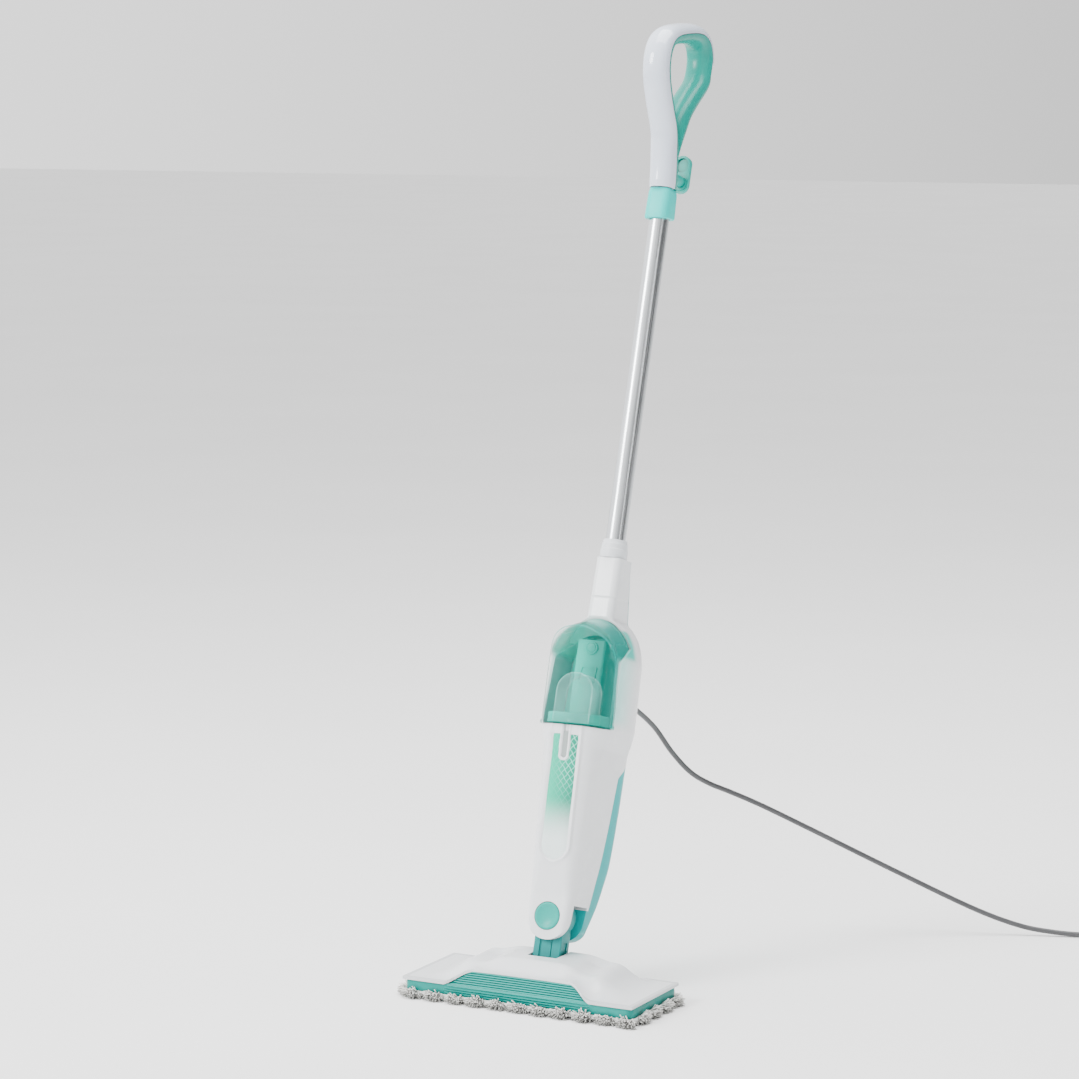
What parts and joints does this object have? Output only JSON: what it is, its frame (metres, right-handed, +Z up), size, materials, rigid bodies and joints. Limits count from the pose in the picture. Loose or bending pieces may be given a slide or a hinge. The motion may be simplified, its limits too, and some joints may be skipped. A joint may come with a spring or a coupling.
{
  "type": "steam mop",
  "caption": "Upright steam mop: wide flat head with tufted pad, tilting and turning neck, slim housing with clear water tank, pumping tube with loop handle, cord hook and cord.",
  "frame": {"origin": "middle of the pad's flat sole, on the floor", "axes": "+Z up, +X to the mop's left-to-right across the head as seen from the front, +Y to the rear, towards which the shaft leans 17 degrees at rest"},
  "size_m": [0.7853, 0.8155, 1.1516],
  "materials": {
    "white_gloss": "gloss",
    "teal_gloss": "gloss",
    "teal_satin": "satin",
    "teal_clear": "translucent",
    "clear": "clear",
    "light_grey": "satin",
    "cord_rubber": "satin",
    "black_plastic": "satin",
    "aluminium": "satin",
    "steel": "satin",
    "brass": "satin",
    "black_rubber": "matte",
    "silicone": "matte",
    "microfibre": "tufted",
    "hook_fabric": "matte"
  },
  "bodies": {
    "head": {"floor_pad": "microfibre", "hook_strip_front": "hook_fabric", "hook_strip_rear": "hook_fabric", "base_plate": "teal_satin", "skirt": "teal_gloss", "head_cover": "white_gloss", "axle_bracket_left": "light_grey", "axle_bracket_right": "light_grey", "axle_bush_left": "brass", "axle_bush_right": "brass", "tilt_axle": "steel", "steam_manifold": "silicone", "head_post_1": "steel", "head_post_2": "steel", "head_post_3": "steel", "head_post_4": "steel"},
    "neck": {"neck_block": "teal_satin", "neck_steam_tube": "silicone"},
    "housing": {"front_shell": "white_gloss", "rear_cover": "teal_gloss", "decor_panel": "teal_clear", "indicator_lens": "light_grey", "swivel_pin": "steel", "tube_guide": "light_grey", "strain_relief": "cord_rubber", "button_spring": "steel", "boiler": "aluminium", "thermostat": "steel", "thermal_fuse": "brass", "terminal_block": "black_plastic", "pump_body": "light_grey", "boiler_hose": "silicone", "tank_socket": "light_grey", "steam_pipe": "brass", "cover_screw_1": "steel", "cover_screw_2": "steel", "cover_screw_3": "steel", "cover_screw_4": "steel", "power_cord": "cord_rubber", "cord_coil": "cord_rubber", "cord_tie": "black_plastic", "cord_tail": "cord_rubber", "plug_body": "cord_rubber", "plug_blade_1": "brass", "plug_blade_2": "brass"},
    "button": {"release_button": "teal_gloss"},
    "tank": {"tank_shell": "clear", "tank_back": "teal_clear", "tank_valve": "black_plastic"},
    "cap": {"filler_cap": "teal_gloss"},
    "handle": {"shaft_tube": "aluminium", "pump_rod": "steel", "pump_piston": "black_rubber", "handle_collar": "teal_gloss", "handle_front": "white_gloss", "handle_rear": "teal_gloss", "hook_pin": "steel"},
    "hook": {"cord_hook": "teal_gloss"}
  },
  "joints": [
    {"name": "tilt", "type": "hinge", "parent": "head", "child": "neck", "pos_m": [0, 0.021, 0.033], "axis": [-1, 0, 0], "range_deg": [-17, 43]},
    {"name": "turn", "type": "hinge", "parent": "neck", "child": "housing", "pos_m": [0, 0.03884, 0.09133], "axis": [0, 0.9563, -0.2924], "range_deg": [-70, 70]},
    {"name": "button_press", "type": "slide", "parent": "housing", "child": "button", "axis": [0, 0.9563, -0.2924], "range_m": [0, 0.0025], "stiffness_N_per_m": 400, "springref_m": -0.002, "deforming": ["button_spring"]},
    {"name": "tank_lift_off", "type": "slide", "parent": "housing", "child": "tank", "axis": [0, -0.9563, 0.2924], "range_m": [0, 0.13]},
    {"name": "cap_turn", "type": "hinge", "parent": "tank", "child": "cap", "pos_m": [0.0297, 0.11888, 0.30528], "axis": [0, 0.2924, 0.9563], "range_deg": [0, 90]},
    {"name": "pump_stroke", "type": "slide", "parent": "housing", "child": "handle", "axis": [0, -0.2924, -0.9563], "range_m": [0, 0.015]},
    {"name": "hook_turn", "type": "hinge", "parent": "handle", "child": "hook", "pos_m": [0, 0.37258, 0.95552], "axis": [0, 0.9563, -0.2924], "range_deg": [0, 180]}
  ]
}
